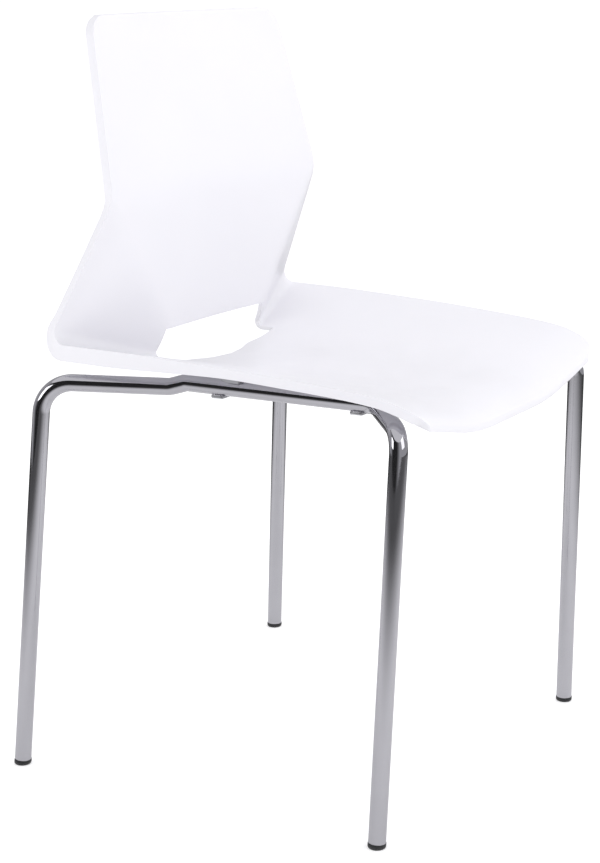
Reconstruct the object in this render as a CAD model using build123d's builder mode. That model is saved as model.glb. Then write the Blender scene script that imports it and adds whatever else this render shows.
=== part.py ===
"""Stacking chair: a one-piece plastic shell on a four-leg frame of bent chrome tube.

Millimetres. The sitter faces -Y, +X is the sitter's left, +Z is up. The origin is on the
floor, at the middle of the chair's footprint.
"""

from build123d import *
import math
import os

os.makedirs("parts", exist_ok=True)

# ---------------------------------------------------------------- driving dimensions
# Frame tube
TUBE_R = 9.5
TUBE_WALL = 1.5

# Leg centre lines: place on the floor, and lean in X and Y for each mm of height
FRONT_FOOT_X, FRONT_FOOT_Y = 234.2, -213.5
REAR_FOOT_X, REAR_FOOT_Y = 266.8, 236.8
FRONT_LEAN_X, FRONT_LEAN_Y = -0.0466, -0.0220
REAR_LEAN_X, REAR_LEAN_Y = -0.0540, -0.0661

# Rail: where the tube turns between the two legs, and its bend radii
REAR_TURN_Z, FRONT_TURN_Z = 448.5, 441.0
RAIL_LOW = (189.4, 74.3, 448.5)
RAIL_HIGH = (183.0, 56.5, 454.0)
RAIL_FRONT = (151.0, -160.0, 450.5)
REAR_BEND_R, JOGGLE_R, PLAN_BEND_R, FRONT_BEND_R = 37.5, 22.0, 28.0, 24.0

# Shell thickness: the field, and the rolled rim around the outside
SHELL_WALL = 4.8
RIM_DEPTH = 10.0
RIM_WIDTH = 9.0
RIM_BLEND = 7.0

# The rim deepens round the rear corners: from where in Y and Z, to where in full
CORNER_RIM_DEPTH = 17.5
DEEPENING_Y = (-50.0, 130.0)
DEEPENING_Z = (520.0, 489.0)

# Shell seat: lengthwise curves, each a list of (y, value)
SEAT_FRONT_Y = -246.5
HALF_WIDTH = [(-246.5, 194), (-243, 205.5), (-236, 212), (-222, 215.5), (-200, 218.5),
              (-150, 222), (-45, 228), (75, 232.5), (132, 235), (210, 236.5)]
EDGE_HEIGHT = [(-246.5, 448), (-243, 457.5), (-236, 463.5), (-222, 469.5), (-200, 475.5),
               (-170, 479), (-126, 482), (-6, 487.5), (132, 490.5), (210, 490.5)]
MID_HEIGHT = [(-246.5, 423.5), (-240, 433), (-229, 441), (-206, 448.5), (-170, 452.5),
              (-120, 453.5), (0, 452), (60, 449.5), (132, 446), (210, 446)]
CREASE_X = [(-246.5, 88), (-225, 90), (-166, 86), (0, 78), (132, 60), (210, 60)]
SEAT_CREASE_BLEND = 9.0

# Shell back: the wing, lumbar and top facets meet along creases
WING_CORNER = (99.5, 141.5, 489.0)
WING_OUT, WING_UP = 0.4636, -0.3667
LUMBAR_UP = -0.0557
KINK = (205.5, 132.7, 647.0)
TOP_HALF_WIDTH, TOP_UP, TOP_Z = 179.5, 0.2252, 838.4
WING_CREASE_BLEND, LUMBAR_BLEND = 8.0, 5.0
REAR_CORNER = (236.0, 491.0)
TOP_CORNER_R = 21.0
HOLLOW = [(440, 4), (489, 4), (647, 8), (838.4, 10)]
OUTER_FOLD_R, INNER_FOLD_R = 15.0, 5.0
FOLD_RISE = 30.0

# Opening between seat and back: its seat edge is a curve of (x, y), its sides splay downward
OPENING_SEAT_EDGE = [(0, 123), (30, 129), (56, 136), (80, 133), (120, 131)]
OPENING_LOW_HALF_WIDTH = 112.0
OPENING_BOTTOM, OPENING_BACK = 430.0, 178.0
OPENING_CORNER_R = 4.0

# Cross straps, seat fixings and stacking pads
STRAP_Y = {"rear": 17.0, "front": -141.5}
STRAP_WIDTH, STRAP_THICK = 15.0, 2.5
WELD_SINK = 0.3
SCREW_X = {"rear": 146.0, "front": 130.0}
SCREW_R, SCREW_HEAD_R, SCREW_HEAD_H = 3.0, 6.0, 3.4
SCREW_HOLE_R = 3.3
SCREW_DRIVE_R = 2.3
SCREW_REACH, SCREW_HOLE_SPARE = 12.0, 2.0
WASHER_R, WASHER_THICK = 7.5, 1.2
BOSS_R, INSERT_R, INSERT_LENGTH = 8.0, 4.2, 10.0
PAD_LENGTH, PAD_WIDTH, PAD_THICK = 14.0, 12.0, 1.2
PAD_STEM_R = 2.5
PAD_STEM_LENGTH = 2.1
PAD_THIN = 0.4
SADDLE_LENGTH, SADDLE_WIDTH = 22.0, 15.0
SADDLE_GRIP = 3.0
SADDLE_Y = {"rear": 1.5, "front": -113.5}

# Foot glides
GLIDE_R, GLIDE_CAP, GLIDE_STEM, GLIDE_FIT = 9.9, 6.0, 20.0, 0.1
GLIDE_ROUND = 2.0


# ---------------------------------------------------------------- shell surface
def along(stations, at):
    """Smooth value at a place along a list of (place, value), with no overshoot."""
    places = [place for place, _ in stations]
    values = [value for _, value in stations]
    if at <= places[0]:
        return values[0]
    if at >= places[-1]:
        return values[-1]
    span = max(i for i in range(len(places) - 1) if places[i] <= at)

    def steepness(i):
        return (values[i + 1] - values[i]) / (places[i + 1] - places[i])

    def slope(i):
        if i == 0:
            return steepness(0)
        if i == len(places) - 1:
            return steepness(i - 1)
        before, after = steepness(i - 1), steepness(i)
        if before * after <= 0:
            return 0.0
        return 2 * before * after / (before + after)

    length = places[span + 1] - places[span]
    t = (at - places[span]) / length
    start, end = values[span], values[span + 1]
    rise = end - start
    start_slope, end_slope = slope(span) * length, slope(span + 1) * length
    return (start + t * start_slope
            + t * t * (3 * rise - 2 * start_slope - end_slope)
            + t * t * t * (start_slope + end_slope - 2 * rise))


def rounded_max(a, b, blend):
    """The larger of two values, with their crossing rounded off."""
    overlap = max(blend - abs(a - b), 0.0) / blend
    return max(a, b) + overlap * overlap * blend / 4


def seat_height(x, y):
    """Height of the seat: a level middle between two flat sides that rise outward."""
    middle = along(MID_HEIGHT, y)
    edge = along(EDGE_HEIGHT, y)
    half_width = along(HALF_WIDTH, y)
    slope = (edge - middle) / (half_width - along(CREASE_X, y))
    side = edge - slope * (half_width - abs(x))
    return rounded_max(middle, side, SEAT_CREASE_BLEND)


def straight_half_width(z):
    """Half width of the back before its top corners are rounded."""
    corner_x, corner_z = REAR_CORNER
    kink_x, _, kink_z = KINK
    if z <= kink_z:
        return corner_x + (kink_x - corner_x) * max(z - corner_z, 0) / (kink_z - corner_z)
    return kink_x + (TOP_HALF_WIDTH - kink_x) * (z - kink_z) / (TOP_Z - kink_z)


def back_half_width(z):
    """Half width of the back: out to the kink, then in to a rounded top corner."""
    into_corner = min(max(z - (TOP_Z - TOP_CORNER_R), 0), TOP_CORNER_R)
    rounding = TOP_CORNER_R - math.sqrt(TOP_CORNER_R ** 2 - into_corner ** 2)
    return straight_half_width(z) - rounding


def back_depth(x, z):
    """Place in Y of the back: the furthest back of its wing, lumbar and top facets."""
    corner_x, corner_y, corner_z = WING_CORNER
    kink_x, kink_y, kink_z = KINK
    wing = corner_y + WING_OUT * (abs(x) - corner_x) + WING_UP * (z - corner_z)
    share = max((z - corner_z) / (kink_z - corner_z), 0)
    crease_x = min(corner_x + share * (kink_x - corner_x), straight_half_width(z))
    hollow = along(HOLLOW, z) * max(1 - (x / crease_x) ** 2, 0)
    lumbar = corner_y + LUMBAR_UP * (z - corner_z) + hollow
    top = kink_y + TOP_UP * (z - kink_z) + hollow
    lower = rounded_max(wing, lumbar, WING_CREASE_BLEND)
    return rounded_max(lower, top, LUMBAR_BLEND)


def fold_radius(x):
    """Radius of the fold between seat and back: small beside the opening, larger outside."""
    outward = (abs(x) - WING_CORNER[0]) / (REAR_CORNER[0] - WING_CORNER[0])
    return INNER_FOLD_R + (OUTER_FOLD_R - INNER_FOLD_R) * max(outward, 0)


def fold(x):
    """The seat and back meet in a rounded fold: its start, the angle and its top."""
    corner_z = seat_height(x, REAR_CORNER[1])
    corner_y = back_depth(x, corner_z)
    run = back_depth(x, corner_z + FOLD_RISE) - corner_y
    angle = math.atan2(FOLD_RISE, -run)
    reach = fold_radius(x) / math.tan(angle / 2)
    start = (corner_y - reach, corner_z)
    end_z = corner_z + reach * math.sin(angle)
    return start, angle, end_z


def fold_point(x, share):
    """Point a share of the way round the fold's arc, from the seat to the back."""
    (start_y, start_z), angle, end_z = fold(x)
    radius = fold_radius(x)
    turn = share * (math.pi - angle)
    y = start_y + radius * math.sin(turn)
    z = start_z + radius * (1 - math.cos(turn))
    drift = back_depth(x, end_z) - (start_y + radius * math.sin(math.pi - angle))
    return y + share * drift, z


# ---------------------------------------------------------------- shell solid
SEAT_ROWS, FOLD_ROWS, LOWER_BACK_ROWS, UPPER_BACK_ROWS, SIDE_COLUMNS = 20, 8, 9, 10, 14
ROW_BUNCHING = 1.4
FRONT_LIP = 6.0


def skin_rows():
    """Each row's half width and a function from x to its (y, z), front edge to top edge."""
    fold_start, _, fold_top = fold(REAR_CORNER[0])
    rows = []
    for i in range(SEAT_ROWS):
        share = (i / SEAT_ROWS) ** ROW_BUNCHING
        edge_y = SEAT_FRONT_Y + share * (fold_start[0] - SEAT_FRONT_Y)

        def on_seat(x, share=share):
            y = SEAT_FRONT_Y + share * (fold(x)[0][0] - SEAT_FRONT_Y)
            return y, seat_height(x, y)

        rows.append((along(HALF_WIDTH, edge_y), on_seat))
    seat_end = along(HALF_WIDTH, fold_start[0])
    back_start = back_half_width(fold_top)
    for i in range(FOLD_ROWS + 1):
        share = i / FOLD_ROWS
        half_width = seat_end + share * (back_start - seat_end)
        rows.append((half_width, lambda x, share=share: fold_point(x, share)))
    for i in range(1, LOWER_BACK_ROWS + 1):
        share = i / LOWER_BACK_ROWS

        def on_lower_back(x, share=share):
            start_z = fold(x)[2]
            z = start_z + share * (KINK[2] - start_z)
            return back_depth(x, z), z

        edge_z = fold_top + share * (KINK[2] - fold_top)
        rows.append((back_half_width(edge_z), on_lower_back))
    for i in range(1, UPPER_BACK_ROWS + 1):
        share = 1 - (1 - i / UPPER_BACK_ROWS) ** ROW_BUNCHING
        z = KINK[2] + share * (TOP_Z - KINK[2])
        rows.append((back_half_width(z), lambda x, z=z: (back_depth(x, z), z)))
    return rows


def front_skin():
    """Grid of points on the side that the sitter touches, rows from front to top."""
    grid = []
    for half_width, place in skin_rows():
        row = []
        for j in range(-SIDE_COLUMNS, SIDE_COLUMNS + 1):
            x = half_width * math.sin(math.pi / 2 * j / SIDE_COLUMNS)
            row.append(Vector(x, *place(x)))
        grid.append(row)
    return grid


def smooth_step(start, end, at):
    """Share from 0 at the start to 1 at the end, level at both."""
    t = min(max((at - start) / (end - start), 0), 1)
    return t * t * (3 - 2 * t)


def shell_depth(point, half_width):
    """Thickness of the shell at a point: deeper in the rolled rim."""
    from_front = point.Y - SEAT_FRONT_Y
    from_edge = min(half_width - abs(point.X), from_front, TOP_Z - point.Z)
    in_rim = smooth_step(RIM_WIDTH + RIM_BLEND, RIM_WIDTH, from_edge)
    at_corner = smooth_step(*DEEPENING_Y, point.Y) * smooth_step(*DEEPENING_Z, point.Z)
    rim_depth = RIM_DEPTH + (CORNER_RIM_DEPTH - RIM_DEPTH) * at_corner
    return SHELL_WALL + (rim_depth - SHELL_WALL) * in_rim


def back_skin(grid):
    """The underside's grid: each point set back square to the skin by the thickness.

    The front edge ends in an upright face, and the top edge in a level one.
    """
    last_row, last_column = len(grid) - 1, len(grid[0]) - 1
    under = [[point - Vector(0, 0, FRONT_LIP) for point in grid[0]]]
    for i in range(1, last_row):
        row = grid[i]
        under_row = []
        for j, point in enumerate(row):
            across = row[min(j + 1, last_column)] - row[max(j - 1, 0)]
            upward = grid[i + 1][j] - grid[i - 1][j]
            out = across.cross(upward).normalized()
            under_row.append(point - out * shell_depth(point, row[-1].X))
        under.append(under_row)
    under.append([point + Vector(0, RIM_DEPTH, 0) for point in grid[-1]])
    return under


def shell_blank():
    """Closed solid between the two skins, before the opening is cut."""
    grid = front_skin()
    sections = []
    for row, under_row in zip(grid, back_skin(grid)):
        front = Edge.make_spline(row)
        back = Edge.make_spline(under_row)
        left = Edge.make_line(row[0], under_row[0])
        right = Edge.make_line(row[-1], under_row[-1])
        sections.append(Wire([front, right, back, left]))
    return Solid.make_loft(sections, ruled=True)


# ---------------------------------------------------------------- frame geometry
SIDES = {"left": 1, "right": -1}
ENDS = ("front", "rear")


def leg_point(end, side, z):
    """Point on a leg's centre line at a height."""
    if end == "front":
        x, y = FRONT_FOOT_X + FRONT_LEAN_X * z, FRONT_FOOT_Y + FRONT_LEAN_Y * z
    else:
        x, y = REAR_FOOT_X + REAR_LEAN_X * z, REAR_FOOT_Y + REAR_LEAN_Y * z
    return Vector(side * x, y, z)


def rail_point(y, side):
    """Point on the straight middle of a rail's centre line."""
    share = (RAIL_HIGH[1] - y) / (RAIL_HIGH[1] - RAIL_FRONT[1])
    high, front = Vector(*RAIL_HIGH), Vector(*RAIL_FRONT)
    point = high + (front - high) * share
    return Vector(side * point.X, point.Y, point.Z)


def tube_route(side):
    """Corners of a side frame's centre line, from the rear foot to the front foot."""
    turns = [Vector(side * x, y, z) for x, y, z in (RAIL_LOW, RAIL_HIGH, RAIL_FRONT)]
    return [leg_point("rear", side, GLIDE_CAP), leg_point("rear", side, REAR_TURN_Z), *turns,
            leg_point("front", side, FRONT_TURN_Z), leg_point("front", side, GLIDE_CAP)]


def tube_solid(side, outer_r, inner_r=0):
    """Bent tube along a side frame's centre line, or a solid rod where inner_r is 0."""
    bends = [REAR_BEND_R, JOGGLE_R, JOGGLE_R, PLAN_BEND_R, FRONT_BEND_R]
    with BuildPart() as tube:
        with BuildLine() as centre_line:
            FilletPolyline(*tube_route(side), radius=bends)
        with BuildSketch(Plane(centre_line.line @ 0, z_dir=centre_line.line % 0)):
            Circle(outer_r)
            if inner_r:
                Circle(inner_r, mode=Mode.SUBTRACT)
        sweep(path=centre_line.line)
    return tube.part


def strap_top(end):
    """Height of a strap's top face: the rail's lowest line, less the weld's sink."""
    return rail_point(STRAP_Y[end], 1).Z - TUBE_R + WELD_SINK


def screw_places(end):
    """The two places on a strap where a screw goes up into the shell."""
    return [(x, STRAP_Y[end]) for x in (-SCREW_X[end], SCREW_X[end])]


def pad_places(end):
    """The two places on a strap, under the rails, where a stacking pad is pressed in."""
    return [(rail_point(STRAP_Y[end], side).X, STRAP_Y[end]) for side in SIDES.values()]


# ---------------------------------------------------------------- pieces
def finish_piece(piece, name):
    """Label a finished piece and write it."""
    piece.label = name
    export_step(piece, f"parts/{name}.step")
    return piece


def make_opening():
    """Block cut out between seat and back: splayed sides, and a curved seat edge."""
    top_x, _, top_z = WING_CORNER
    seat_edge = [(-x, y) for x, y in reversed(OPENING_SEAT_EDGE[1:])] + OPENING_SEAT_EDGE
    side_x = seat_edge[-1][0]
    with BuildPart() as opening:
        with BuildSketch(Plane.XY.offset(OPENING_BOTTOM)):
            with BuildLine():
                Spline(*seat_edge)
                Polyline(seat_edge[-1], (side_x, OPENING_BACK), (-side_x, OPENING_BACK),
                         seat_edge[0])
            make_face()
        extrude(amount=top_z - OPENING_BOTTOM)
        with BuildSketch(Plane.XZ.offset(-OPENING_BACK)) as splay:
            with BuildLine():
                Polyline((-OPENING_LOW_HALF_WIDTH, OPENING_BOTTOM), (-top_x, top_z),
                         (top_x, top_z), (OPENING_LOW_HALF_WIDTH, OPENING_BOTTOM), close=True)
            make_face()
            fillet(splay.vertices().group_by(Axis.Y)[-1], OPENING_CORNER_R)
        extrude(amount=OPENING_BACK, mode=Mode.INTERSECT)
        fillet(opening.edges().filter_by(GeomType.LINE).group_by(Axis.Y)[0], OPENING_CORNER_R)
    return opening.part


def make_shell():
    """Seat and back in one moulding, with the opening and four screw bosses."""
    with BuildPart() as shell:
        add(shell_blank())
        for end in ENDS:
            for x, y in screw_places(end):
                boss_top = seat_height(x, y) - SHELL_WALL / 2
                with BuildSketch(Plane.XY.offset(strap_top(end))):
                    with Locations((x, y)):
                        Circle(BOSS_R)
                extrude(amount=boss_top - strap_top(end))
        for end in ENDS:
            with BuildSketch(Plane.XY.offset(strap_top(end))):
                with Locations(*screw_places(end)):
                    Circle(INSERT_R)
            extrude(amount=INSERT_LENGTH, mode=Mode.SUBTRACT)
            with BuildSketch(Plane.XY.offset(strap_top(end))):
                with Locations(*screw_places(end)):
                    Circle(SCREW_HOLE_R)
            extrude(amount=SCREW_REACH + SCREW_HOLE_SPARE, mode=Mode.SUBTRACT)
        add(make_opening(), mode=Mode.SUBTRACT)
    return shell.part


def make_strap(end, rods):
    """Flat bar welded under both rails, drilled for the seat screws and the pads."""
    half_length = rail_point(STRAP_Y[end], 1).X + PAD_WIDTH / 2
    with BuildPart() as strap:
        with BuildSketch(Plane.XY.offset(strap_top(end) - STRAP_THICK)):
            with Locations((0, STRAP_Y[end])):
                Rectangle(2 * half_length, STRAP_WIDTH)
            with Locations(*screw_places(end)):
                Circle(SCREW_HOLE_R, mode=Mode.SUBTRACT)
            with Locations(*pad_places(end)):
                Circle(PAD_STEM_R, mode=Mode.SUBTRACT)
        extrude(amount=STRAP_THICK)
        for rod in rods:
            add(rod, mode=Mode.SUBTRACT)
    return strap.part


def make_pad(end, side):
    """Stacking pad: a wedge under the strap's end, with a stem pressed into the strap."""
    x, y = rail_point(STRAP_Y[end], side).X, STRAP_Y[end]
    underside = strap_top(end) - STRAP_THICK
    with BuildPart() as pad:
        with BuildSketch(Plane.YZ.offset(x - PAD_WIDTH / 2)):
            with BuildLine():
                Polyline((y - PAD_LENGTH / 2, underside), (y - PAD_LENGTH / 2, underside - PAD_THIN),
                         (y + PAD_LENGTH / 2, underside - PAD_THICK),
                         (y + PAD_LENGTH / 2, underside), close=True)
            make_face()
        extrude(amount=PAD_WIDTH)
        with BuildSketch(Plane.XY.offset(underside)):
            with Locations((x, y)):
                Circle(PAD_STEM_R)
        extrude(amount=PAD_STEM_LENGTH)
    return pad.part


def make_saddle(end, side, rod, shell):
    """Spacer block on top of a rail, shaped to the tube below and the shell above."""
    seat = rail_point(SADDLE_Y[end], side)
    bottom = seat.Z + TUBE_R - SADDLE_GRIP
    with BuildPart() as saddle:
        with BuildSketch(Plane.XY.offset(bottom)):
            with Locations((seat.X, SADDLE_Y[end])):
                Rectangle(SADDLE_WIDTH, SADDLE_LENGTH)
        extrude(amount=seat_height(seat.X, SADDLE_Y[end]) - SHELL_WALL / 2 - bottom)
        add(rod, mode=Mode.SUBTRACT)
        add(shell, mode=Mode.SUBTRACT)
    return saddle.part


def make_glide(end, side):
    """Foot glide: a rounded cap under the tube's end and a stem up inside it."""
    foot, above = leg_point(end, side, 0), leg_point(end, side, 1)
    axis = (above - foot).normalized()
    cap_top = leg_point(end, side, GLIDE_CAP)
    with BuildPart() as glide:
        with BuildSketch(Plane(cap_top, z_dir=axis)):
            Circle(GLIDE_R)
        extrude(amount=-2 * GLIDE_CAP)
        split(bisect_by=Plane.XY, keep=Keep.TOP)
        fillet(glide.faces().sort_by(Axis.Z)[0].edges(), GLIDE_ROUND)
        with BuildSketch(Plane(cap_top, z_dir=axis)):
            Circle(TUBE_R - TUBE_WALL - GLIDE_FIT)
        extrude(amount=GLIDE_STEM)
    return glide.part


def at_screws(make_one):
    """One piece at each of the four seat screws, as a group of separate solids."""
    with BuildPart() as group:
        for end in ENDS:
            for x, y in screw_places(end):
                add(make_one(x, y, strap_top(end)))
    return group.part


def one_screw(x, y, top):
    """Pan-head screw from under the strap up into the shell's insert."""
    head_top = top - STRAP_THICK - WASHER_THICK
    with BuildPart() as screw:
        with BuildSketch(Plane.XY.offset(head_top - SCREW_HEAD_H)):
            with Locations((x, y)):
                Circle(SCREW_HEAD_R)
        extrude(amount=SCREW_HEAD_H)
        fillet(screw.faces().sort_by(Axis.Z)[0].edges(), SCREW_HEAD_H / 2)
        with BuildSketch(Plane.XY.offset(head_top - SCREW_HEAD_H)):
            with Locations((x, y)):
                RegularPolygon(SCREW_DRIVE_R, 6)
        extrude(amount=SCREW_HEAD_H / 2, mode=Mode.SUBTRACT)
        with BuildSketch(Plane.XY.offset(head_top)):
            with Locations((x, y)):
                Circle(SCREW_R)
        extrude(amount=top + SCREW_REACH - head_top)
    return screw.part


def one_washer(x, y, top):
    """Flat washer between a screw's head and the strap."""
    with BuildPart() as washer:
        with BuildSketch(Plane.XY.offset(top - STRAP_THICK - WASHER_THICK)):
            with Locations((x, y)):
                Circle(WASHER_R)
                Circle(SCREW_HOLE_R, mode=Mode.SUBTRACT)
        extrude(amount=WASHER_THICK)
    return washer.part


def one_insert(x, y, top):
    """Brass insert moulded into a boss, flush with its end."""
    with BuildPart() as insert:
        with BuildSketch(Plane.XY.offset(top)):
            with Locations((x, y)):
                Circle(INSERT_R)
                Circle(SCREW_R, mode=Mode.SUBTRACT)
        extrude(amount=INSERT_LENGTH)
    return insert.part


# ---------------------------------------------------------------- the chair
rods = {name: tube_solid(side, TUBE_R) for name, side in SIDES.items()}
seat_shell = finish_piece(make_shell(), "seat_shell")
for name, side in SIDES.items():
    tube = tube_solid(side, TUBE_R, TUBE_R - TUBE_WALL)
    finish_piece(tube, f"side_frame_{name}")
for end in ENDS:
    finish_piece(make_strap(end, rods.values()), f"cross_strap_{end}")
    for name, side in SIDES.items():
        finish_piece(make_pad(end, side), f"stack_pad_{end}_{name}")
        finish_piece(make_saddle(end, side, rods[name], seat_shell), f"rail_saddle_{end}_{name}")
        finish_piece(make_glide(end, side), f"glide_{end}_{name}")
finish_piece(at_screws(one_screw), "seat_screws")
finish_piece(at_screws(one_washer), "screw_washers")
finish_piece(at_screws(one_insert), "thread_inserts")
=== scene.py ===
"""Stacking chair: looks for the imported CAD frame. Metres in the scene, millimetres in the shape formulas."""
import math
import random

import bmesh
import bpy
from mathutils import Matrix, Vector


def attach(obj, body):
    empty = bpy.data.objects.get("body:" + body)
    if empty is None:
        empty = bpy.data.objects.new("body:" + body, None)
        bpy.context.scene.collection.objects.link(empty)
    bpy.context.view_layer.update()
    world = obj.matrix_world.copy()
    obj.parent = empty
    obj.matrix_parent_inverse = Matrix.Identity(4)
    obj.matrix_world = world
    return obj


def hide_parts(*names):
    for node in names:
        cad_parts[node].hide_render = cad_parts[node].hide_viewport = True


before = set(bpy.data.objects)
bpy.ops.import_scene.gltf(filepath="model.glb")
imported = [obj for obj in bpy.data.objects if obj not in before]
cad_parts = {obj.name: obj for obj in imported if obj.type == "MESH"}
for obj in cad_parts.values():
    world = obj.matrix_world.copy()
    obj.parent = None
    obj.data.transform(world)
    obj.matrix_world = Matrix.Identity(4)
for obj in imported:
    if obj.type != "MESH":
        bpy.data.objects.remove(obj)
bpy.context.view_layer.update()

MM = 0.001
DOUBLE_DISTANCE = 1e-6
ROOT = "root"

# ---------------------------------------------------------------- sizes, in millimetres, as in the CAD model
TUBE_R, TUBE_WALL = 9.5, 1.5
FRONT_FOOT, FRONT_LEAN = (234.2, -213.5), (-0.0466, -0.0220)
REAR_FOOT, REAR_LEAN = (266.8, 236.8), (-0.0540, -0.0661)
REAR_TURN_Z, FRONT_TURN_Z = 448.5, 441.0
RAIL_LOW = (189.4, 74.3, 448.5)
RAIL_HIGH = (183.0, 56.5, 454.0)
RAIL_FRONT = (151.0, -160.0, 450.5)
BEND_RADII = (37.5, 22.0, 22.0, 28.0, 24.0)
GLIDE_CAP = 6.0

SHELL_WALL, RIM_DEPTH, RIM_WIDTH, RIM_BLEND = 4.8, 10.0, 9.0, 7.0
CORNER_RIM_DEPTH = 17.5
RIM_ROUNDING, RIM_ANGLE = 2.1, 48
DEEPENING_Y = (-50, 130)
DEEPENING_Z = (489, 520)
SEAT_FRONT_Y = -246.5
HALF_WIDTH = [(-246.5, 194), (-243, 205.5), (-236, 212), (-222, 215.5), (-200, 218.5),
              (-150, 222), (-45, 228), (75, 232.5), (132, 235), (210, 236.5)]
EDGE_HEIGHT = [(-246.5, 448), (-243, 457.5), (-236, 463.5), (-222, 469.5), (-200, 475.5),
               (-170, 479), (-126, 482), (-6, 487.5), (132, 490.5), (210, 490.5)]
MID_HEIGHT = [(-246.5, 423.5), (-240, 433), (-229, 441), (-206, 448.5), (-170, 452.5),
              (-120, 453.5), (0, 452), (60, 449.5), (132, 446), (210, 446)]
CREASE_X = [(-246.5, 88), (-225, 90), (-166, 86), (0, 78), (132, 60), (210, 60)]
SEAT_CREASE_BLEND = 9.0
WING_CORNER = (99.5, 141.5, 489.0)
WING_OUT, WING_UP = 0.4636, -0.3667
LUMBAR_UP = -0.0557
KINK = (205.5, 132.7, 647.0)
TOP_HALF_WIDTH, TOP_UP, TOP_Z = 179.5, 0.2252, 838.4
WING_CREASE_BLEND, LUMBAR_BLEND = 8.0, 5.0
REAR_CORNER = (236.0, 491.0)
TOP_CORNER_R = 21.0
HOLLOW = [(440, 4), (489, 4), (647, 8), (838.4, 10)]
OUTER_FOLD_R, INNER_FOLD_R = 15.0, 5.0
FOLD_RISE = 30.0
FRONT_LIP = 6.0
OPENING_SEAT_EDGE = [(0, 123), (30, 129), (56, 136), (80, 133), (120, 131)]
OPENING_LOW = (112.0, 430.0)

STRAP_Y = {"rear": 17.0, "front": -141.5}
WELD_SINK = 0.3
SCREW_X = {"rear": 146.0, "front": 130.0}
BOSS_R = 8.0
SIDES = {"left": 1, "right": -1}


# ---------------------------------------------------------------- shell surface
def along(stations, at):
    """Smooth value at a place along a list of (place, value), with no overshoot."""
    if at <= stations[0][0]:
        return stations[0][1]
    if at >= stations[-1][0]:
        return stations[-1][1]
    span = max(i for i in range(len(stations) - 1) if stations[i][0] <= at)

    def steepness(i):
        return (stations[i + 1][1] - stations[i][1]) / (stations[i + 1][0] - stations[i][0])

    def slope(i):
        if i == 0:
            return steepness(0)
        if i == len(stations) - 1:
            return steepness(i - 1)
        before, after = steepness(i - 1), steepness(i)
        return 0.0 if before * after <= 0 else 2 * before * after / (before + after)

    length = stations[span + 1][0] - stations[span][0]
    t = (at - stations[span][0]) / length
    start, end = stations[span][1], stations[span + 1][1]
    a, b = slope(span) * length, slope(span + 1) * length
    rise = end - start
    return start + t * a + t * t * (3 * rise - 2 * a - b) + t ** 3 * (a + b - 2 * rise)


def smooth_step(low, high, at):
    t = min(max((at - low) / (high - low), 0.0), 1.0)
    return t * t * (3 - 2 * t)


def rounded_max(a, b, blend):
    overlap = max(blend - abs(a - b), 0.0) / blend
    return max(a, b) + overlap * overlap * blend / 4


def seat_height(x, y):
    middle, edge = along(MID_HEIGHT, y), along(EDGE_HEIGHT, y)
    half_width = along(HALF_WIDTH, y)
    slope = (edge - middle) / (half_width - along(CREASE_X, y))
    return rounded_max(middle, edge - slope * (half_width - abs(x)), SEAT_CREASE_BLEND)


def straight_half_width(z):
    if z <= KINK[2]:
        share = max(z - REAR_CORNER[1], 0) / (KINK[2] - REAR_CORNER[1])
        return REAR_CORNER[0] + (KINK[0] - REAR_CORNER[0]) * share
    return KINK[0] + (TOP_HALF_WIDTH - KINK[0]) * (z - KINK[2]) / (TOP_Z - KINK[2])


def back_half_width(z):
    into_corner = min(max(z - (TOP_Z - TOP_CORNER_R), 0), TOP_CORNER_R)
    return straight_half_width(z) - TOP_CORNER_R + math.sqrt(TOP_CORNER_R ** 2 - into_corner ** 2)


def back_depth(x, z):
    corner_x, corner_y, corner_z = WING_CORNER
    wing = corner_y + WING_OUT * (abs(x) - corner_x) + WING_UP * (z - corner_z)
    share = max((z - corner_z) / (KINK[2] - corner_z), 0)
    crease_x = min(corner_x + share * (KINK[0] - corner_x), straight_half_width(z))
    hollow = along(HOLLOW, z) * max(1 - (x / crease_x) ** 2, 0)
    lumbar = corner_y + LUMBAR_UP * (z - corner_z) + hollow
    top = KINK[1] + TOP_UP * (z - KINK[2]) + hollow
    return rounded_max(rounded_max(wing, lumbar, WING_CREASE_BLEND), top, LUMBAR_BLEND)


def fold(x):
    """Where the seat and back meet at x: the arc's start, angle, top and radius."""
    corner_z = seat_height(x, REAR_CORNER[1])
    corner_y = back_depth(x, corner_z)
    angle = math.atan2(FOLD_RISE, corner_y - back_depth(x, corner_z + FOLD_RISE))
    outward = max((abs(x) - WING_CORNER[0]) / (REAR_CORNER[0] - WING_CORNER[0]), 0)
    radius = INNER_FOLD_R + (OUTER_FOLD_R - INNER_FOLD_R) * outward
    reach = radius / math.tan(angle / 2)
    return corner_y - reach, corner_z, angle, corner_z + reach * math.sin(angle), radius


def fold_point(x, share):
    start_y, start_z, angle, end_z, radius = fold(x)
    turn = share * (math.pi - angle)
    drift = back_depth(x, end_z) - (start_y + radius * math.sin(math.pi - angle))
    return start_y + radius * math.sin(turn) + share * drift, start_z + radius * (1 - math.cos(turn))


def opening_half_width(z):
    low_x, low_z = OPENING_LOW
    share = min((z - low_z) / (WING_CORNER[2] - low_z), 1)
    return low_x + (WING_CORNER[0] - low_x) * share


# ---------------------------------------------------------------- shell mesh
SEAT_ROWS, SILL_ROWS, FOLD_ROWS, RISE_ROWS, LUMBAR_ROWS, TOP_ROWS = 84, 8, 8, 10, 34, 44
INNER_COLUMNS, OUTER_COLUMNS = 22, 26
EDGE_BUNCHING = 1.25
WING_LIFT = 45.0


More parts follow.
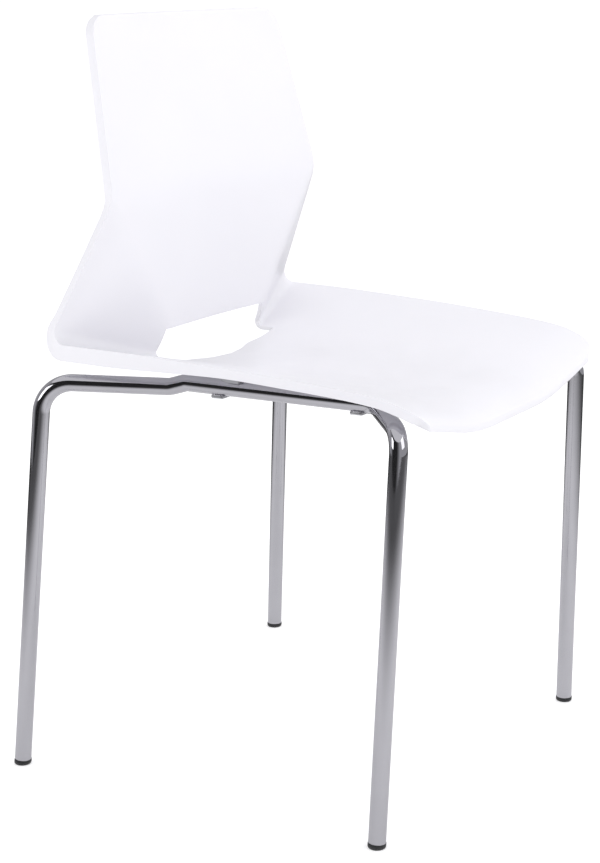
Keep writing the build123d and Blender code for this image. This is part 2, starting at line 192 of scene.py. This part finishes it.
def shell_rows():
    """Rows from the front edge to the top edge: half width, opening half width, x -> (y, z)."""
    rows = []
    edge_x = REAR_CORNER[0]
    sill_edge = along(OPENING_SEAT_EDGE, edge_x)
    fold_y, _, _, fold_top, _ = fold(edge_x)
    open_low = opening_half_width(fold(OPENING_LOW[0])[1])
    for i in range(SEAT_ROWS):
        share = (i / SEAT_ROWS) ** EDGE_BUNCHING

        def on_seat(x, share=share):
            y = SEAT_FRONT_Y + share * (along(OPENING_SEAT_EDGE, abs(x)) - SEAT_FRONT_Y)
            return y, seat_height(x, y)

        y = SEAT_FRONT_Y + share * (sill_edge - SEAT_FRONT_Y)
        rows.append((along(HALF_WIDTH, y), open_low, on_seat))
    for i in range(SILL_ROWS):
        share = i / SILL_ROWS

        def on_sill(x, share=share):
            start = along(OPENING_SEAT_EDGE, abs(x))
            y = start + share * (fold(x)[0] - start)
            return y, seat_height(x, y)

        y = sill_edge + share * (fold_y - sill_edge)
        rows.append((along(HALF_WIDTH, y), open_low, on_sill))
    seat_end, back_start = along(HALF_WIDTH, fold_y), back_half_width(fold_top)
    for i in range(FOLD_ROWS):
        share = i / FOLD_ROWS
        half_width = seat_end + share * (back_start - seat_end)
        rows.append((half_width, open_low, lambda x, share=share: fold_point(x, share)))
    edge_panel = WING_CORNER[2] + rise_lift(edge_x)
    opening_start = fold(WING_CORNER[0])[3]
    for i in range(RISE_ROWS):
        share = i / RISE_ROWS

        def on_rise(x, share=share):
            start = fold(x)[3]
            z = start + share * (WING_CORNER[2] + rise_lift(x) - start)
            return back_depth(x, z), z

        z = fold_top + share * (edge_panel - fold_top)
        opening_z = opening_start + share * (WING_CORNER[2] - opening_start)
        rows.append((back_half_width(z), opening_half_width(opening_z), on_rise))
    for i in range(LUMBAR_ROWS):
        share = i / LUMBAR_ROWS

        def on_lumbar(x, share=share):
            start = WING_CORNER[2] + rise_lift(x)
            z = start + share * (KINK[2] - start)
            return back_depth(x, z), z

        z = edge_panel + share * (KINK[2] - edge_panel)
        rows.append((back_half_width(z), opening_half_width(WING_CORNER[2]), on_lumbar))
    for i in range(TOP_ROWS + 1):
        share = 1 - (1 - i / TOP_ROWS) ** EDGE_BUNCHING
        z = KINK[2] + share * (TOP_Z - KINK[2])
        rows.append((back_half_width(z), WING_CORNER[0], lambda x, z=z: (back_depth(x, z), z)))
    return rows


def rise_lift(x):
    """How much higher the row level with the opening's top runs out at the wings."""
    outward = (abs(x) - WING_CORNER[0]) / (REAR_CORNER[0] - WING_CORNER[0])
    return WING_LIFT * max(outward, 0)


def shell_grid():
    grid = []
    for half_width, opening, place in shell_rows():
        xs = [opening * j / INNER_COLUMNS for j in range(INNER_COLUMNS)]
        for j in range(OUTER_COLUMNS + 1):
            share = 1 - (1 - j / OUTER_COLUMNS) ** EDGE_BUNCHING
            xs.append(opening + (half_width - opening) * share)
        right = [Vector((x, *place(x))) for x in xs]
        left = [Vector((-p.x, p.y, p.z)) for p in reversed(right[1:])]
        grid.append(left + right)
    return grid


def rim_depth(point):
    """Depth of the rolled rim: deeper round the rear corner, where the seat meets the back."""
    near_corner = smooth_step(*DEEPENING_Y, point.y) * (1 - smooth_step(*DEEPENING_Z, point.z))
    return RIM_DEPTH + (CORNER_RIM_DEPTH - RIM_DEPTH) * near_corner


def shell_depth(point, half_width):
    from_edge = min(half_width - abs(point.x), point.y - SEAT_FRONT_Y, TOP_Z - point.z)
    deep = 1 - smooth_step(RIM_WIDTH, RIM_WIDTH + RIM_BLEND, from_edge)
    return SHELL_WALL + (rim_depth(point) - SHELL_WALL) * deep


def under_grid(grid):
    last_row, last_column = len(grid) - 1, len(grid[0]) - 1
    under = [[p - Vector((0, 0, FRONT_LIP)) for p in grid[0]]]
    for i in range(1, last_row):
        row = []
        for j, point in enumerate(grid[i]):
            across = grid[i][min(j + 1, last_column)] - grid[i][max(j - 1, 0)]
            upward = grid[i + 1][j] - grid[i - 1][j]
            out = across.cross(upward).normalized()
            row.append(point - out * shell_depth(point, grid[i][-1].x))
        under.append(row)
    under.append([p + Vector((0, RIM_DEPTH, 0)) for p in grid[-1]])
    return under


def new_object(name, mesh_verts, faces, material, smooth=True):
    mesh = bpy.data.meshes.new(name)
    mesh.from_pydata(mesh_verts, [], faces)
    mesh.update()
    mesh.materials.append(material)
    if smooth:
        mesh.shade_smooth()
    thing = bpy.data.objects.new(name, mesh)
    bpy.context.scene.collection.objects.link(thing)
    return thing


def apply_modifiers(thing):
    """Turn a piece's modifiers into its plain mesh."""
    depsgraph = bpy.context.evaluated_depsgraph_get()
    depsgraph.update()
    mesh = bpy.data.meshes.new_from_object(thing.evaluated_get(depsgraph))
    thing.modifiers.clear()
    thing.data = mesh
    return thing


def face_outward(thing, join_doubles=False):
    """Turn every face outward, after joining points that lie on one another where asked."""
    bm = bmesh.new()
    bm.from_mesh(thing.data)
    if join_doubles:
        bmesh.ops.remove_doubles(bm, verts=bm.verts, dist=DOUBLE_DISTANCE)
    bmesh.ops.recalc_face_normals(bm, faces=bm.faces)
    bm.to_mesh(thing.data)
    bm.free()


def band(low, high, sides, base=0):
    """Faces between two of a piece's rings of points, by the rings' numbers."""
    low, high = base + low * sides, base + high * sides
    return [[low + k, low + (k + 1) % sides, high + (k + 1) % sides, high + k] for k in range(sides)]


def make_shell(material):
    grid = shell_grid()
    under = under_grid(grid)
    rows, columns = len(grid), len(grid[0])
    count = rows * columns
    verts = [p * MM for row in grid for p in row] + [p * MM for row in under for p in row]
    middle = columns // 2
    open_rows = range(SEAT_ROWS, SEAT_ROWS + SILL_ROWS + FOLD_ROWS + RISE_ROWS)
    open_columns = range(middle - INNER_COLUMNS, middle + INNER_COLUMNS)
    kept = {(i, j) for i in range(rows - 1) for j in range(columns - 1)
            if not (i in open_rows and j in open_columns)}
    faces = []
    sides = {}
    for i, j in kept:
        ring = [i * columns + j, i * columns + j + 1, (i + 1) * columns + j + 1, (i + 1) * columns + j]
        faces.append(ring)
        faces.append([v + count for v in reversed(ring)])
        for k in range(4):
            sides[(ring[k], ring[(k + 1) % 4])] = True
    for a, b in sides:
        if (b, a) not in sides:
            faces.append([b, a, a + count, b + count])
    shell = new_object("moulded_shell", verts, faces, material)
    bm = bmesh.new()
    bm.from_mesh(shell.data)
    loose = [v for v in bm.verts if not v.link_faces]
    bmesh.ops.delete(bm, geom=loose, context="VERTS")
    bmesh.ops.recalc_face_normals(bm, faces=bm.faces)
    bm.to_mesh(shell.data)
    bm.free()
    bevel = shell.modifiers.new("rim", "BEVEL")
    bevel.limit_method = "ANGLE"
    bevel.angle_limit = math.radians(RIM_ANGLE)
    bevel.width = RIM_ROUNDING * MM
    bevel.segments = 4
    apply_modifiers(shell)
    shell.data.shade_smooth()
    return shell


# ---------------------------------------------------------------- frame
def leg_point(end, side, z):
    foot, lean = (FRONT_FOOT, FRONT_LEAN) if end == "front" else (REAR_FOOT, REAR_LEAN)
    return Vector((side * (foot[0] + lean[0] * z), foot[1] + lean[1] * z, z))


def rail_point(y, side):
    high, front = Vector(RAIL_HIGH), Vector(RAIL_FRONT)
    point = high + (front - high) * ((high.y - y) / (high.y - front.y))
    return Vector((side * point.x, point.y, point.z))


def tube_line(side):
    """Centre line of a side frame as close points, each with its share of bending."""
    turns = [Vector((side * x, y, z)) for x, y, z in (RAIL_LOW, RAIL_HIGH, RAIL_FRONT)]
    corners = [leg_point("rear", side, GLIDE_CAP), leg_point("rear", side, REAR_TURN_Z), *turns,
               leg_point("front", side, FRONT_TURN_Z), leg_point("front", side, GLIDE_CAP)]
    line = [(corners[0], 0.0)]
    for i, radius in enumerate(BEND_RADII, start=1):
        before = (corners[i] - corners[i - 1]).normalized()
        after = (corners[i + 1] - corners[i]).normalized()
        angle = before.angle(after)
        reach = radius * math.tan(angle / 2)
        centre_way = (after - before).normalized()
        centre = corners[i] + centre_way * (radius / math.cos(angle / 2))
        start = corners[i] - before * reach
        steps = max(6, round(math.degrees(angle) / 2.5))
        spoke = start - centre
        axis = before.cross(after)
        for k in range(steps + 1):
            turned = Matrix.Rotation(angle * k / steps, 3, axis) @ spoke
            line.append((centre + turned, math.sin(math.pi * k / steps)))
    line.append((corners[-1], 0.0))
    return line


TUBE_SIDES = 56
BEND_FLATTENING = 0.018
BORE_SHOWN = 24.0


def make_tube(name, side, material):
    """Swept tube, a little flattened at its bends, with its bore showing at the feet."""
    line = tube_line(side)
    count, last = len(line), len(line) - 1
    points = [p for p, _ in line]
    tangents = [(points[min(i + 1, last)] - points[max(i - 1, 0)]).normalized() for i in range(count)]
    normal = tangents[0].orthogonal().normalized()
    rings = []
    for i, (point, bend) in enumerate(line):
        if i:
            normal = tangents[i - 1].rotation_difference(tangents[i]) @ normal
        normal = (normal - tangents[i] * normal.dot(tangents[i])).normalized()
        other = tangents[i].cross(normal)
        spread = points[min(i + 1, last)] + points[max(i - 1, 0)] - 2 * point
        inward = spread.normalized() if bend and spread.length > 1e-6 else normal
        ring = []
        for k in range(TUBE_SIDES):
            turn = 2 * math.pi * k / TUBE_SIDES
            way = normal * math.cos(turn) + other * math.sin(turn)
            squeeze = BEND_FLATTENING * bend * way.dot(inward) ** 2
            ring.append(point + way * TUBE_R * (1 - squeeze))
        rings.append(ring)
    for start, inner_way in ((0, 1), (last, -1)):
        centre = points[start]
        for depth in (0.0, BORE_SHOWN):
            ring = []
            for outer in rings[start]:
                ring.append(centre + (outer - centre) * ((TUBE_R - TUBE_WALL) / TUBE_R)
                            + tangents[start] * inner_way * depth)
            rings.append(ring)
    verts = [p * MM for ring in rings for p in ring]
    joined = [(i, i + 1) for i in range(last)]
    joined += [(count, 0), (count + 1, count), (last, count + 2), (count + 2, count + 3)]
    faces = [face for low, high in joined for face in band(low, high, TUBE_SIDES)]
    faces.append([(count + 1) * TUBE_SIDES + k for k in range(TUBE_SIDES)])
    faces.append([(count + 3) * TUBE_SIDES + k for k in reversed(range(TUBE_SIDES))])
    tube = new_object(name, verts, faces, material)
    face_outward(tube)
    sharpen(tube, 40)
    return tube


def sharpen(thing, degrees):
    """Smooth shading that breaks at edges sharper than an angle."""
    thing.data.shade_smooth()
    bm = bmesh.new()
    bm.from_mesh(thing.data)
    for edge in bm.edges:
        if len(edge.link_faces) == 2 and edge.calc_face_angle(0) > math.radians(degrees):
            edge.smooth = False
    bm.to_mesh(thing.data)
    bm.free()


GLIDE_PROFILE = [(0.0, 0.35), (6.4, 0.0), (8.0, 0.0), (8.9, 0.25), (9.6, 0.9), (9.9, 1.9), (9.9, 4.9),
                 (9.75, 5.5), (9.3, 5.85), (7.9, 5.95), (7.9, 24.0), (6.9, 25.2), (0.0, 25.2)]
GLIDE_SIDES = 48


def make_glide(end, side, name, material):
    """Foot glide turned about the leg's leaning centre line, flat on the floor."""
    verts = []
    for radius, z in GLIDE_PROFILE:
        centre = leg_point(end, side, z)
        for k in range(GLIDE_SIDES):
            turn = 2 * math.pi * k / GLIDE_SIDES
            verts.append((centre + Vector((radius * math.cos(turn), radius * math.sin(turn), 0))) * MM)
    faces = [face for i in range(len(GLIDE_PROFILE) - 1) for face in band(i, i + 1, GLIDE_SIDES)]
    glide = new_object(name, verts, faces, material)
    face_outward(glide, join_doubles=True)
    sharpen(glide, 35)
    return glide


def rounded_copy(node, name, width, material):
    """Copy of a CAD node with its edges rounded, to stand for that node."""
    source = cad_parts[node]
    copy = bpy.data.objects.new(name, source.data.copy())
    bpy.context.scene.collection.objects.link(copy)
    bm = bmesh.new()
    bm.from_mesh(copy.data)
    bmesh.ops.remove_doubles(bm, verts=bm.verts, dist=DOUBLE_DISTANCE)
    bmesh.ops.dissolve_limit(bm, angle_limit=math.radians(1.0), verts=bm.verts, edges=bm.edges)
    bm.to_mesh(copy.data)
    bm.free()
    copy.data.materials.clear()
    copy.data.materials.append(material)
    bevel = copy.modifiers.new("edges", "BEVEL")
    bevel.limit_method = "ANGLE"
    bevel.angle_limit = math.radians(40)
    bevel.width = width * MM
    bevel.segments = 3
    apply_modifiers(copy)
    sharpen(copy, 30)
    return copy


WELD_R, WELD_LENGTH, WELD_RIPPLES = 1.9, 12.5, 6
WELD_OFF_CENTRE, WELD_LIFT = 4.1, 0.55
WELD_SPREAD, WELD_SQUASH = 1.25, 0.8
RIPPLE_HEIGHT, RIPPLE_JITTER = 0.09, 0.02
WELD_SIDES, WELD_STEPS = 14, 40
UP = Vector((0, 0, 1))


def make_welds(end, side, name, material):
    """Two short weld beads in the grooves between a rail and the strap under it."""
    seat = rail_point(STRAP_Y[end], side)
    way = (rail_point(STRAP_Y[end] + 1, side) - seat).normalized()
    across = way.cross(UP).normalized()
    rand = random.Random(f"{end}{side}")
    verts, faces = [], []
    for groove in (-1, 1):
        base = len(verts)
        for i in range(WELD_STEPS + 1):
            t = i / WELD_STEPS
            ripple = 1 + RIPPLE_HEIGHT * abs(math.sin(math.pi * WELD_RIPPLES * t))
            ripple += rand.uniform(-RIPPLE_JITTER, RIPPLE_JITTER)
            radius = WELD_R * ripple * math.sqrt(max(1 - (2 * t - 1) ** 8, 0.0))
            centre = seat + way * (t - 0.5) * WELD_LENGTH + across * groove * WELD_OFF_CENTRE
            centre.z += -TUBE_R + WELD_SINK + WELD_LIFT
            for k in range(WELD_SIDES):
                turn = 2 * math.pi * k / WELD_SIDES
                verts.append((centre + across * radius * WELD_SPREAD * math.cos(turn)
                              + UP * radius * WELD_SQUASH * math.sin(turn)) * MM)
        for i in range(WELD_STEPS):
            faces += band(i, i + 1, WELD_SIDES, base)
    weld = new_object(name, verts, faces, material)
    face_outward(weld, join_doubles=True)
    weld.data.shade_smooth()
    return weld


BOSS_BORE_R, BOSS_BORE_DEPTH, BOSS_CHAMFER = 4.25, 8.0, 0.5
BOSS_FLARE, FLARE_STEPS = 3.0, 6
FLARE_DROP, BOSS_CAP = 1.5, 1.2
BOSS_SIDES = 40


def make_boss(end, side, name, material):
    """Screw boss under the seat, flared towards the shell and ending a little below it."""
    x, y = side * SCREW_X[end], STRAP_Y[end]
    low = rail_point(y, 1).z - TUBE_R + WELD_SINK
    top = seat_height(x, y) - SHELL_WALL / 2
    under = top - low - SHELL_WALL / 2 - FLARE_DROP
    profile = [(BOSS_BORE_R, BOSS_BORE_DEPTH), (BOSS_BORE_R, 1.0), (BOSS_BORE_R, 0.0),
               (BOSS_R - BOSS_CHAMFER, 0.0), (BOSS_R, BOSS_CHAMFER)]
    for k in range(FLARE_STEPS + 1):
        turn = math.pi / 2 * k / FLARE_STEPS
        profile.append((BOSS_R + BOSS_FLARE * (1 - math.cos(turn)),
                        under - BOSS_FLARE + BOSS_FLARE * math.sin(turn)))
    profile.append((0.0, under + BOSS_CAP))
    verts = []
    for radius, z in profile:
        for k in range(BOSS_SIDES):
            turn = 2 * math.pi * k / BOSS_SIDES
            point = Vector((x + radius * math.cos(turn), y + radius * math.sin(turn), low + z))
            if z > under - BOSS_FLARE - 0.1:
                point.z += seat_height(point.x, point.y) - seat_height(x, y)
            verts.append(point * MM)
    faces = [face for i in range(len(profile) - 1) for face in band(i, i + 1, BOSS_SIDES)]
    faces.append(list(range(BOSS_SIDES)))
    boss = new_object(name, verts, faces, material)
    face_outward(boss, join_doubles=True)
    sharpen(boss, 40)
    return boss


# ---------------------------------------------------------------- materials
class Nodes:
    """Small helper for building a material's nodes."""

    def __init__(self, name):
        self.material = bpy.data.materials.new(name)
        self.material.use_nodes = True
        self.tree = self.material.node_tree
        self.shader = self.tree.nodes["Principled BSDF"]
        self.place = self.tree.nodes.new("ShaderNodeTexCoord").outputs["Object"]

    def set(self, **values):
        for socket, value in values.items():
            self.shader.inputs[socket.replace("_", " ")].default_value = value
        return self

    def noise(self, scale, detail=3.0, roughness=0.5, stretch=None):
        texture = self.tree.nodes.new("ShaderNodeTexNoise")
        texture.inputs["Scale"].default_value = scale
        texture.inputs["Detail"].default_value = detail
        texture.inputs["Roughness"].default_value = roughness
        source = self.place
        if stretch:
            mapping = self.tree.nodes.new("ShaderNodeMapping")
            mapping.inputs["Scale"].default_value = stretch
            self.tree.links.new(source, mapping.inputs["Vector"])
            source = mapping.outputs["Vector"]
        self.tree.links.new(source, texture.inputs["Vector"])
        return texture.outputs["Fac"]

    def cells(self, scale):
        texture = self.tree.nodes.new("ShaderNodeTexVoronoi")
        texture.inputs["Scale"].default_value = scale
        self.tree.links.new(self.place, texture.inputs["Vector"])
        return texture.outputs["Distance"]

    def ramp(self, source, stops):
        ramp = self.tree.nodes.new("ShaderNodeValToRGB")
        while len(ramp.color_ramp.elements) < len(stops):
            ramp.color_ramp.elements.new(0.5)
        for element, (at, colour) in zip(ramp.color_ramp.elements, stops):
            element.position = at
            element.color = (*colour, 1) if isinstance(colour, tuple) else (colour, colour, colour, 1)
        self.tree.links.new(source, ramp.inputs["Fac"])
        return ramp.outputs["Color"]

    def spread(self, source, low, high, from_low=0.0, from_high=1.0):
        node = self.tree.nodes.new("ShaderNodeMapRange")
        node.inputs["From Min"].default_value = from_low
        node.inputs["From Max"].default_value = from_high
        node.inputs["To Min"].default_value = low
        node.inputs["To Max"].default_value = high
        self.tree.links.new(source, node.inputs["Value"])
        return node.outputs["Result"]

    def add(self, a, b):
        node = self.tree.nodes.new("ShaderNodeMath")
        node.operation = "ADD"
        self.tree.links.new(a, node.inputs[0])
        self.tree.links.new(b, node.inputs[1])
        return node.outputs[0]

    def to(self, socket, source):
        self.tree.links.new(source, self.shader.inputs[socket])
        return self

    def bump(self, source, strength, distance):
        node = self.tree.nodes.new("ShaderNodeBump")
        node.inputs["Strength"].default_value = strength
        node.inputs["Distance"].default_value = distance
        self.tree.links.new(source, node.inputs["Height"])
        self.tree.links.new(node.outputs["Normal"], self.shader.inputs["Normal"])
        return self


def shell_plastic():
    n = Nodes("white_polypropylene")
    n.set(IOR=1.49, Subsurface_Weight=0.08, Subsurface_Scale=0.004, Specular_IOR_Level=0.42)
    n.shader.inputs["Subsurface Radius"].default_value = (1.0, 0.95, 0.9)
    n.to("Base Color", n.ramp(n.noise(6.0, 4.0),
                              [(0.3, (0.806, 0.800, 0.838)), (0.7, (0.820, 0.814, 0.850))]))
    n.to("Roughness", n.spread(n.noise(35.0, 5.0), 0.36, 0.50, 0.3, 0.7))
    grain = n.add(n.spread(n.cells(950.0), 0.0, 1.0, 0.0, 0.9), n.noise(1400.0, 2.0))
    return n.bump(grain, 0.22, 0.00008).material


def chrome(name, rough_low, rough_high, tint=(0.560, 0.553, 0.590)):
    n = Nodes(name)
    n.set(Metallic=1.0)
    low = tuple(c * 0.97 for c in tint)
    n.to("Base Color", n.ramp(n.noise(28.0, 4.0), [(0.35, low), (0.65, tint)]))
    n.to("Roughness", n.spread(n.noise(160.0, 6.0, 0.6), rough_low, rough_high, 0.3, 0.7))
    return n.bump(n.noise(60.0, 2.0), 0.05, 0.00015).material


def moulded(name, low, high, rough, grain_scale=900.0, depth=0.00008):
    n = Nodes(name)
    n.set(IOR=1.5)
    n.to("Base Color", n.ramp(n.noise(90.0, 5.0), [(0.35, low), (0.65, high)]))
    n.to("Roughness", n.spread(n.noise(220.0, 4.0), rough - 0.07, rough + 0.07, 0.3, 0.7))
    return n.bump(n.cells(grain_scale), 0.4, depth).material


def turned_metal(name, low, high, rough):
    n = Nodes(name)
    n.set(Metallic=1.0)
    n.to("Base Color", n.ramp(n.noise(120.0, 4.0), [(0.35, low), (0.65, high)]))
    marks = n.noise(400.0, 4.0, 0.5, (1.0, 1.0, 6.0))
    n.to("Roughness", n.spread(marks, rough - 0.06, rough + 0.08, 0.3, 0.7))
    return n.bump(n.noise(900.0, 2.0, 0.5, (1.0, 1.0, 9.0)), 0.12, 0.00005).material


SHELL = shell_plastic()
CHROME = chrome("bright_chrome", 0.035, 0.075)
STRAP_CHROME = chrome("strap_chrome", 0.30, 0.38, (0.70, 0.70, 0.73))
WELD_CHROME = chrome("weld_chrome", 0.16, 0.28)
BLACK = moulded("black_nylon", (0.012, 0.012, 0.014), (0.022, 0.022, 0.024), 0.42)
GREY = moulded("grey_polythene", (0.30, 0.30, 0.32), (0.36, 0.36, 0.38), 0.5)
PALE_GREY = moulded("pale_polythene", (0.72, 0.72, 0.74), (0.78, 0.78, 0.80), 0.5)
STEEL = turned_metal("zinc_steel", (0.50, 0.50, 0.52), (0.60, 0.60, 0.61), 0.26)
BRASS = turned_metal("brass", (0.62, 0.44, 0.18), (0.72, 0.53, 0.24), 0.28)


# ---------------------------------------------------------------- pieces
def settle(piece, slot, *nodes):
    """Tie a finished piece to the frame: its body and the nodes it stands for, which it hides. The slot is not
    used.
    """
    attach(piece, ROOT)
    if nodes:
        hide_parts(*nodes)


settle(make_shell(SHELL), "shell", "seat_shell")
for name, side in SIDES.items():
    settle(make_tube(f"bent_tube_{name}", side, CHROME), "chrome_tube", f"side_frame_{name}")
for end in ("front", "rear"):
    settle(rounded_copy(f"cross_strap_{end}", f"strap_bar_{end}", 0.5, STRAP_CHROME), "strap_steel",
           f"cross_strap_{end}")
    for name, side in SIDES.items():
        key = f"{end}_{name}"
        settle(make_glide(end, side, f"foot_glide_{key}", BLACK), "glide_plastic", f"glide_{key}")
        settle(rounded_copy(f"stack_pad_{key}", f"pad_{key}", 0.15, PALE_GREY), "pad_plastic",
               f"stack_pad_{key}")
        settle(rounded_copy(f"rail_saddle_{key}", f"saddle_{key}", 0.4, GREY), "pad_plastic",
               f"rail_saddle_{key}")
        settle(make_welds(end, side, f"weld_beads_{key}", WELD_CHROME), "strap_steel")
        settle(make_boss(end, side, f"screw_boss_{key}", SHELL), "shell")
for node, material in (("seat_screws", STEEL), ("screw_washers", STEEL), ("thread_inserts", BRASS)):
    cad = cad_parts[node]
    for material_slot in cad.material_slots:
        material_slot.material = material


# ---------------------------------------------------------------- floor, studio and lights
def stage_object(name, verts, faces, material):
    thing = new_object(name, verts, faces, material, smooth=False)
    return thing


def floor_material():
    n = Nodes("pale_floor")
    n.set(Roughness=0.9, Specular_IOR_Level=0.1, Emission_Color=(1, 1, 1, 1), Emission_Strength=0.42)
    n.to("Base Color", n.ramp(n.noise(0.8, 3.0), [(0.3, (0.80, 0.80, 0.805)), (0.7, (0.82, 0.82, 0.825))]))
    return n.material


HALF_FLOOR = 90.0
CIRCLE_SIDES = 96
JUST_ABOVE, SHADE_Z, BOUNCE_Z = 0.003, -0.002, -0.004


def square_points(half, z):
    return [(-half, -half, z), (half, -half, z), (half, half, z), (-half, half, z)]


def circle_points(radius, z):
    turns = [2 * math.pi * k / CIRCLE_SIDES for k in range(CIRCLE_SIDES)]
    return [(radius * math.cos(turn), radius * math.sin(turn), z) for turn in turns]


floor = stage_object("floor", square_points(HALF_FLOOR, 0), [(0, 1, 2, 3)], floor_material())
floor.visible_diffuse = False
floor.visible_shadow = False

# The studio round the set is seen only in reflections: a wall that glows as painted light, and a floor that
# falls off into the dark under a sheet of painted shade
WALL_RADIUS, WALL_HEIGHT = 2.3, 2.05
WALL_GLOW = 0.42
BLACKEST_WAY = (-0.985, 0.17, 0.0)
GLOW_ENDS = (0.55, 0.9)
LIT_RADIUS, DARK_RADIUS = 0.55, 1.85
FLOOR_DIMMING = 0.36
DARK_SIDE = (0.85, 0.53, 0.0)
SIDE_DARKNESS, SIDE_START, SIDE_END = 0.34, 0.35, 1.1


def along_way(n, way):
    """How far each point lies along a level direction."""
    facing = n.tree.nodes.new("ShaderNodeVectorMath")
    facing.operation = "DOT_PRODUCT"
    facing.inputs[1].default_value = way
    n.tree.links.new(n.place, facing.inputs[0])
    return facing.outputs["Value"]


def glowing_studio_wall():
    """Near-black cloth all round that glows grey as painted light, seen only in reflections; it has no glow,
    so it is black, on the side that the rails mirror.
    """
    n = Nodes("glowing_studio_wall")
    n.set(Roughness=0.95, Specular_IOR_Level=0.0, Emission_Color=(0.97, 0.97, 1.0, 1))
    n.to("Base Color", n.ramp(n.noise(3.0, 3.0), [(0.3, 0.018), (0.7, 0.03)]))
    fade_start, fade_end = (share * WALL_RADIUS for share in GLOW_ENDS)
    # painted light: the wall glows grey, fading to no glow towards BLACKEST_WAY
    glow = n.spread(along_way(n, BLACKEST_WAY), WALL_GLOW, 0.0, fade_start, fade_end)
    return n.to("Emission Strength", glow).material


def painted_floor_falloff():
    """Painted shade seen only in reflections: a dark sheet that hides more of the floor with distance, and
    more on one side.
    """
    n = Nodes("floor_falloff")
    n.set(Roughness=0.95, Specular_IOR_Level=0.0)
    n.to("Base Color", n.ramp(n.noise(3.0, 3.0), [(0.3, 0.05), (0.7, 0.07)]))
    length = n.tree.nodes.new("ShaderNodeVectorMath")
    length.operation = "LENGTH"
    n.tree.links.new(n.place, length.inputs[0])
    # painted shade: the floor darkens with distance from the chair
    fade = n.spread(length.outputs["Value"], FLOOR_DIMMING, 0.95, LIT_RADIUS, DARK_RADIUS)
    fade.node.interpolation_type = "SMOOTHSTEP"
    # painted shade: the floor is darker still towards DARK_SIDE
    side = n.spread(along_way(n, DARK_SIDE), 0.0, SIDE_DARKNESS, SIDE_START, SIDE_END)
    return n.to("Alpha", n.add(fade, side)).material


def only_in_reflections(thing):
    thing.visible_camera = False
    thing.visible_diffuse = False
    thing.visible_shadow = False
    thing.visible_transmission = False


wall_foot, wall_top = circle_points(WALL_RADIUS, JUST_ABOVE), circle_points(WALL_RADIUS, WALL_HEIGHT)
wall = stage_object("studio_wall", wall_foot + wall_top, band(0, 1, CIRCLE_SIDES), glowing_studio_wall())
only_in_reflections(wall)
# painted shade over the floor, seen only in reflections
dark_floor = stage_object("floor_falloff", wall_foot, [range(CIRCLE_SIDES)], painted_floor_falloff())
only_in_reflections(dark_floor)

# The chair takes its bounced light from just below the floor: a floor as bright, with a darker disc on it, a
# painted shadow for the shade under the chair
SHADE_RADIUS = 0.62


def only_in_bounce(thing):
    thing.visible_camera = False
    thing.visible_glossy = False
    thing.visible_shadow = False
    thing.visible_transmission = False


bounce = stage_object("floor_bounce", square_points(HALF_FLOOR, BOUNCE_Z), [(0, 1, 2, 3)], floor_material())
only_in_bounce(bounce)


def painted_floor_shadow():
    n = Nodes("floor_shade")
    n.set(Roughness=0.95, Specular_IOR_Level=0.0)
    # painted shadow: a darker disc under the chair, seen only by bounced light
    n.to("Base Color", n.ramp(n.noise(3.0, 3.0), [(0.3, 0.42), (0.7, 0.46)]))
    return n.material


shade = stage_object("floor_shade", circle_points(SHADE_RADIUS, SHADE_Z), [range(CIRCLE_SIDES)],
                     painted_floor_shadow())
only_in_bounce(shade)


LIGHT_AIM = Vector((0, 0, 0.45))


def area_light(name, bearing, elevation, distance, size, power, in_chrome=True):
    """Softbox aimed at the seat from a bearing and elevation in degrees."""
    turn, lift = math.radians(bearing), math.radians(elevation)
    way = Vector((math.cos(turn) * math.cos(lift), math.sin(turn) * math.cos(lift), math.sin(lift)))
    data = bpy.data.lights.new(name, "AREA")
    data.shape = "RECTANGLE"
    data.size, data.size_y = size
    data.energy = power
    light = bpy.data.objects.new(name, data)
    light.location = LIGHT_AIM + way * distance
    light.rotation_euler = (-way).to_track_quat("-Z", "Y").to_euler()
    light.visible_glossy = in_chrome
    bpy.context.scene.collection.objects.link(light)


area_light("left_softbox", 141, 14, 2.0, (0.72, 0.72), 5.2)
area_light("front_softbox", -94, 24, 2.0, (1.25, 1.05), 5.5)
area_light("low_front_fill", -118, 12, 3.4, (2.6, 1.6), 5.0, in_chrome=False)
area_light("right_fill", -45, 35, 3.0, (1.8, 1.6), 8.5, in_chrome=False)
area_light("overhead_fill", 10, 66, 2.2, (1.6, 1.6), 12.0, in_chrome=False)

world = bpy.data.worlds.new("studio")
world.use_nodes = True
background = world.node_tree.nodes["Background"]
background.inputs["Color"].default_value = (0.985, 0.985, 1.0, 1)
background.inputs["Strength"].default_value = 0.84
bpy.context.scene.world = world
bpy.context.scene.view_settings.view_transform = "Standard"
bpy.context.scene.view_settings.look = "None"

# ---------------------------------------------------------------- camera
camera_data = bpy.data.cameras.new("camera")
camera = bpy.data.objects.new("camera", camera_data)
camera.location = (-1.7938, -1.0983, 0.9065)
camera.rotation_euler = (math.radians(90 - 14.345), math.radians(0.03), math.radians(-58.063))
camera_data.sensor_fit = "VERTICAL"
camera_data.sensor_height = 36.0
camera_data.lens = 78.465
camera_data.shift_x = -0.0060
camera_data.shift_y = -0.0014
camera_data.clip_end = 300.0
bpy.context.scene.collection.objects.link(camera)
bpy.context.scene.camera = camera
